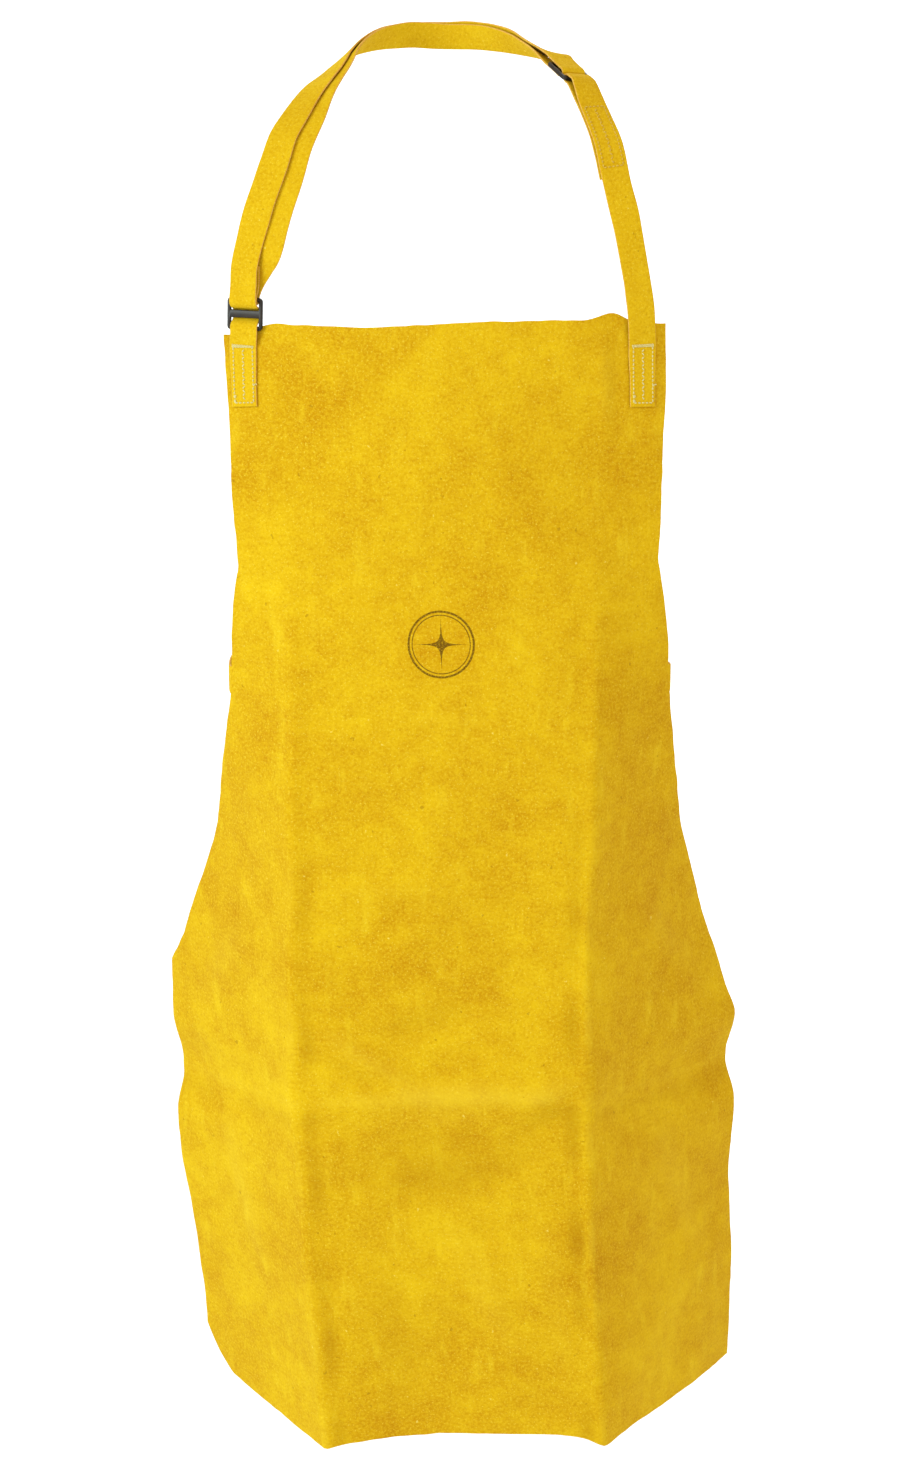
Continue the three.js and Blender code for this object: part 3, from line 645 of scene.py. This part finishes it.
class Strap:
    """A strip of leather: where its middle runs, which way its outside faces, and points on it."""

    def __init__(self, node):
        rings = rings_of(node)
        if rings[0].mean(0)[1] > rings[-1].mean(0)[1]:
            rings = rings[::-1]
        self.middle = rings.mean(1)
        step = np.linalg.norm(np.diff(self.middle, axis=0), axis=1)
        self.length = np.concatenate([[0], np.cumsum(step)])
        along = unit(np.gradient(self.middle, self.length, axis=0))
        wide = unit(rings[:, 2] + rings[:, 3] - rings[:, 0] - rings[:, 1])
        outside = unit(np.cross(along, wide))
        outside[0] *= -np.sign(outside[0][1])
        for i in range(1, len(outside)):
            outside[i] *= np.sign(outside[i] @ outside[i - 1])
        self.along, self.outside = along, outside
        self.end = self.length[-1]

    def nearest(self, point, first=0.0, last=math.inf):
        """The length along the strap at which it passes closest to a point, between two lengths."""
        away = np.linalg.norm(self.middle - np.array(point), axis=1)
        away[(self.length < first) | (self.length > last)] = math.inf
        return self.length[int(np.argmin(away))]

    def at(self, run, across, lift):
        """Points at a length along the strap, across from its middle and above it."""
        run = np.clip(run, 0, self.end)
        i = np.clip(np.searchsorted(self.length, run, side="right") - 1, 0, len(self.length) - 2)
        gap = (self.length[i + 1] - self.length[i])[:, None]
        t = (run - self.length[i])[:, None] / gap
        a, b = self.middle[i], self.middle[i + 1]
        slope_a, slope_b = self.along[i] * gap, self.along[i + 1] * gap
        middle = a + (b - a) * t * t * (3 - 2 * t) + t * (1 - t) * ((1 - t) * slope_a - t * slope_b)
        along = unit(self.along[i] * (1 - t) + self.along[i + 1] * t)
        outside = self.outside[i] * (1 - t) + self.outside[i + 1] * t
        side = unit(np.cross(outside, along))
        up = np.cross(along, side)
        return middle + side * across[:, None] + up * lift[:, None]


def strap_piece(name, strap, start, end, body=None):
    count = max(2, math.ceil((end - start) / STRAP_STEP))
    run = np.linspace(start, end, count + 1)
    section = np.array(SECTION)
    runs = np.repeat(run, len(section))
    across = np.tile(section[:, 0], len(run)) * STRAP_WIDTH
    lift = np.tile(section[:, 1], len(run)) * STRAP
    side = np.sign(across)
    line = np.stack([side * 0.3, runs], 1)
    rough_cut = waves(line, 0.017, 13) * 0.00035 + waves(line, 0.048, 29) * 0.0009
    across += side * rough_cut * smooth(np.abs(across) / STRAP_WIDTH * 2)
    points = strap.at(runs, across, lift)
    sides = len(section)
    faces = [
        (r * sides + k, r * sides + (k + 1) % sides, (r + 1) * sides + (k + 1) % sides, (r + 1) * sides + k)
        for r in range(count) for k in range(sides)
    ]
    faces.append(tuple(reversed(range(sides))))
    faces.append(tuple(range(count * sides, (count + 1) * sides)))
    piece = new_piece(name, points.tolist(), faces)
    piece.data.materials.append(strap_hide)
    piece.data.materials.append(raw_edge)
    for i, polygon in enumerate(piece.data.polygons):
        polygon.material_index = 1 if i >= count * sides or i % sides in CUT_SIDES else 0
    lay_out(piece.data, across, runs)
    outward_and_smooth(piece, 40)
    if body:
        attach(piece, body)
    return piece


def outward_and_smooth(piece, degrees):
    select_only(piece)
    bpy.ops.object.mode_set(mode="EDIT")
    bpy.ops.mesh.select_all(action="SELECT")
    bpy.ops.mesh.normals_make_consistent(inside=False)
    bpy.ops.object.mode_set(mode="OBJECT")
    smooth_by_angle(piece, degrees)


STRAP_LIT = tone(242, 200, 20)
STRAP_DEEP = tone(218, 166, 6)
strap_hide = suede("golden_strap_hide", STRAP_LIT, STRAP_DEEP, "cut")
neck = Strap("neck_strap")
ADJUSTER = [(a + b) / 2 for a, b in zip(*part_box("neck_adjuster"))]
SLIDE = [(a + b) / 2 for a, b in zip(*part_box("shoulder_slide"))]
NAPE = (0, 0, 0)
at_adjuster = neck.nearest(ADJUSTER, 0, 0.2)
at_nape = neck.nearest(NAPE, 0.2, 0.45 * neck.end)
at_turn = neck.nearest(SLIDE, at_nape, 0.6 * neck.end)
back_at_nape = neck.nearest(NAPE, at_turn + 0.05, neck.end)

neck_tab = strap_piece("neck_strap_tab", neck, 0, at_adjuster)
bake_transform(neck_tab)
neck_front = strap_piece("neck_strap_front_layer", neck, at_adjuster, at_nape)
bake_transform(neck_front)
neck_turn = strap_piece("neck_strap_shoulder_turn", neck, at_nape, back_at_nape)
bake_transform(neck_turn)
neck_under = strap_piece("neck_strap_under_layer", neck, back_at_nape, neck.end)
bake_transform(neck_under)
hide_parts("neck_strap")

# ---- shoulder strap ------------------------------------------------------------------------------
# The short strap, sewn to the right corner of the bib. Its upper end goes round the near bar of the
# shoulder slide and is folded down inside and sewn.

shoulder = Strap("shoulder_strap")
shoulder_piece = strap_piece("shoulder_strap_leather", shoulder, 0, shoulder.end, "apron")
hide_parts("shoulder_strap")

# ---- adjuster and shoulder slide -----------------------------------------------------------------
# Two black moulded three-bar slides. The adjuster joins the neck strap's end to the strap from the
# bib's left corner, and the shoulder slide joins the two straps over the right shoulder.


def moulded(node, name, body, paint, edge, segments=2):
    """The plain solid as a moulding: corners merged, flat faces whole, and its edges rounded."""
    source = frame["nodes"][node]
    piece = source.copy()
    piece.data = source.data.copy()
    piece.name = name
    piece.parent = None
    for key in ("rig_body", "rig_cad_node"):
        del piece[key]
    bpy.context.scene.collection.objects.link(piece)
    select_only(piece)
    bpy.ops.object.mode_set(mode="EDIT")
    bpy.ops.mesh.select_all(action="SELECT")
    bpy.ops.mesh.remove_doubles(threshold=0.00001)
    bpy.ops.mesh.dissolve_limited(angle_limit=math.radians(1))
    bpy.ops.object.mode_set(mode="OBJECT")
    if edge:
        rounding = piece.modifiers.new("rounding", "BEVEL")
        rounding.width, rounding.segments = edge, segments
        rounding.limit_method, rounding.angle_limit = "ANGLE", math.radians(38)
        apply_modifiers(piece)
    smooth_by_angle(piece, 35)
    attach(piece, body)
    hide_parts(node)
    piece.data.materials.clear()
    piece.data.materials.append(paint)


def black_moulding(name):
    """Black acetal from a spark-eroded mould: a fine even matt, browner and a little rougher in patches
    where it has rubbed.
    """
    made = Finish(name, 0.4)
    made.shader.inputs["Specular IOR Level"].default_value = 0.35
    where = made.place()
    grain = made.noise(where, 2600, 2, 0.5)
    handled = made.ramp(made.noise(where, 120, 3, 0.6), (0.35, 0), (0.7, 1))
    colour = made.blend(handled, tone(28, 21, 14), tone(56, 42, 26))
    rough = 0.30 + 0.16 * grain + 0.08 * handled
    return made.finish(colour, rough, grain, 0.00006, 0.6)


black = black_moulding("black_acetal")
moulded("neck_adjuster", "adjuster_slide", "neck_adjuster", black, 0)
moulded("shoulder_slide", "shoulder_loop_slide", "shoulder_slide", black, 0)

# ---- waist belt ----------------------------------------------------------------------------------
# Two more strips of split hide, sewn behind the side edges. The left one ends in the buckle's
# socket. The right one turns round the plug's bar and runs back outside through a keeper loop.

left_belt = Strap("waist_strap_left")
right_belt = Strap("waist_strap_right")
left_piece = strap_piece("left_belt_leather", left_belt, 0, left_belt.end, "apron")
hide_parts("waist_strap_left")
right_piece = strap_piece("right_belt_leather", right_belt, 0, right_belt.end)
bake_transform(right_piece)
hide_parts("waist_strap_right")

# ---- buckle and keeper ---------------------------------------------------------------------------
# A black side-release buckle of two mouldings, at the back of the waist, and the leather keeper.

BUCKLE_EDGE = 0.0006
KEEPER_EDGE = 0.0005
moulded("buckle_socket", "buckle_socket_shell", "apron", black, BUCKLE_EDGE)
moulded("buckle_plug", "buckle_plug_moulding", "buckle_plug", black, BUCKLE_EDGE)
keeper_hide = suede("golden_keeper_hide", STRAP_LIT, STRAP_DEEP)
moulded("waist_keeper", "belt_keeper_loop", "apron", keeper_hide, KEEPER_EDGE, 3)

# ---- stitching -----------------------------------------------------------------------------------
# Cream thread in a lockstitch, golden where the shoulder strap is folded: a box round each joint with
# a zigzag down its middle, and a close bar tack across the top of the two corner tabs.

STITCH = 0.0030
STITCH_GAP = 0.10  # the share of a stitch, at each end, that is inside the leather
THREAD = 0.00058  # half the thickness
SEAM_INSET = 0.0030
ZIGZAG_PITCH = 0.007
ZIGZAG_HALF_WIDTH = 0.0011
ZIGZAG_CLEAR = 0.002  # between the zigzag and the box's ends
TACK_BARS = 17


def spun_thread(name, lit, deep):
    made = Finish(name, 0.75)
    where = made.place()
    plies = made.add("ShaderNodeTexWave", None, {"Vector": where, "Scale": 900.0, "Distortion": 3.0}, 1)
    colour = made.blend(plies, lit, deep)
    return made.finish(colour, None, plies, 0.00012)


def one_stitch():
    """The corners and faces of one stitch: a round thread, thinner where it goes into the leather."""
    bpy.ops.mesh.primitive_uv_sphere_add(segments=7, ring_count=7, radius=1)
    ball = bpy.context.object
    corners = np.array([v.co for v in ball.data.vertices])
    faces = [list(polygon.vertices) for polygon in ball.data.polygons]
    bpy.data.objects.remove(ball)
    return corners, faces


STITCH_CORNERS, STITCH_FACES = one_stitch()
cream = spun_thread("cream_thread", tone(255, 244, 178), tone(242, 220, 120))
golden = spun_thread("golden_thread", tone(250, 214, 84), tone(226, 176, 40))


def seam(name, node, body, strap, routes, face=1, thread=cream):
    """Stitches along routes of (across, length along the strap), on one face of the strap."""
    points, faces = [], []
    for route in routes:
        for (a0, r0), (a1, r1) in zip(route, route[1:]):
            span = math.hypot(a1 - a0, r1 - r0)
            count = max(1, round(span / STITCH))
            for i in range(count):
                lo, hi = (i + STITCH_GAP) / count, (i + 1 - STITCH_GAP) / count
                ends_a = np.array([a0 + (a1 - a0) * lo, a0 + (a1 - a0) * hi])
                ends_r = np.array([r0 + (r1 - r0) * lo, r0 + (r1 - r0) * hi])
                top = np.full(2, face * (STRAP * FACE_LIFT))
                p, q = strap.at(ends_r, ends_a, top)
                raised = strap.at(ends_r, ends_a, top + face * 0.001)
                up = unit((raised - np.array([p, q])).mean(0))
                along = q - p
                side = unit(np.cross(up, along))
                arch = 0.55 - 1.1 * STITCH_CORNERS[:, 2:] ** 2
                shape = (p + q) / 2 + along * STITCH_CORNERS[:, 2:] * 0.5
                shape = shape + side * STITCH_CORNERS[:, :1] * THREAD
                shape = shape + up * (STITCH_CORNERS[:, 1:2] + arch) * THREAD
                start = len(points) * len(STITCH_CORNERS)
                points.append(shape)
                faces += [[start + k for k in f] for f in STITCH_FACES]
    piece = new_piece(name, np.concatenate(points).tolist(), faces)
    piece.data.materials.append(thread)
    outward_and_smooth(piece, 60)
    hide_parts(node)
    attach(piece, body)


def box_routes(start, end, tack=False):
    """A box from one length to another, a narrow zigzag down its middle, and perhaps a tack at the end."""
    half = STRAP_WIDTH / 2 - SEAM_INSET
    box = [(-half, start), (-half, end), (half, end), (half, start), (-half, start)]
    teeth = 2 * math.ceil((end - start) / ZIGZAG_PITCH)
    rise = (end - start - 2 * ZIGZAG_CLEAR) / teeth
    zigzag = [
        (ZIGZAG_HALF_WIDTH if i % 2 else -ZIGZAG_HALF_WIDTH, start + ZIGZAG_CLEAR + i * rise)
        for i in range(teeth + 1)
    ]
    routes = [box, zigzag]
    if tack:
        wide = 2 * half + 0.002
        for height in (0.0, 0.0009):
            routes.append([
                (-half - 0.001 + i * wide / TACK_BARS, end + height + (0.0008 if i % 2 else -0.0012))
                for i in range(TACK_BARS + 1)
            ])
        # the two ends of the thread, run over each other in one corner and cut off
        for turn in range(4):
            low = (half - 0.0004 * turn, start - 0.0005)
            routes.append([low, (half - 0.0012 + 0.0005 * turn, start + 0.0065)])
        loose = [(0.0004, 0.012), (-0.0022, 0.0145), (-0.0030, 0.013)]
        routes.append([(-half + across, start + run) for across, run in loose])
    return routes


seam(
    "left_corner_stitches", "neck_strap_corner_seam", "apron", neck,
    box_routes(0.003, 0.0455, tack=True),
)
seam(
    "right_corner_stitches", "shoulder_strap_corner_seam", "apron", shoulder,
    box_routes(0.003, 0.0460, tack=True),
)
fold_low = shoulder.nearest((0.128, -0.130, -0.104), 0.1, 0.24)
fold_high = shoulder.nearest((0.112, -0.105, -0.057), 0.1, 0.26)
seam(
    "shoulder_fold_stitches", "shoulder_strap_fold_seam", "apron", shoulder,
    box_routes(fold_low, fold_high), thread=golden,
)
seam(
    "neck_end_stitches", "neck_strap_end_seam", "neck_adjuster", neck,
    box_routes(neck.end - 0.021, neck.end - 0.004),
)
seam("left_belt_stitches", "waist_seam_left", "apron", left_belt, box_routes(0.003, 0.033), -1)
seam("right_belt_stitches", "waist_seam_right", "apron", right_belt, box_routes(0.003, 0.033), -1)
seam(
    "belt_end_stitches", "waist_strap_end_seam", "apron", left_belt,
    box_routes(left_belt.end - 0.031, left_belt.end - 0.004),
)
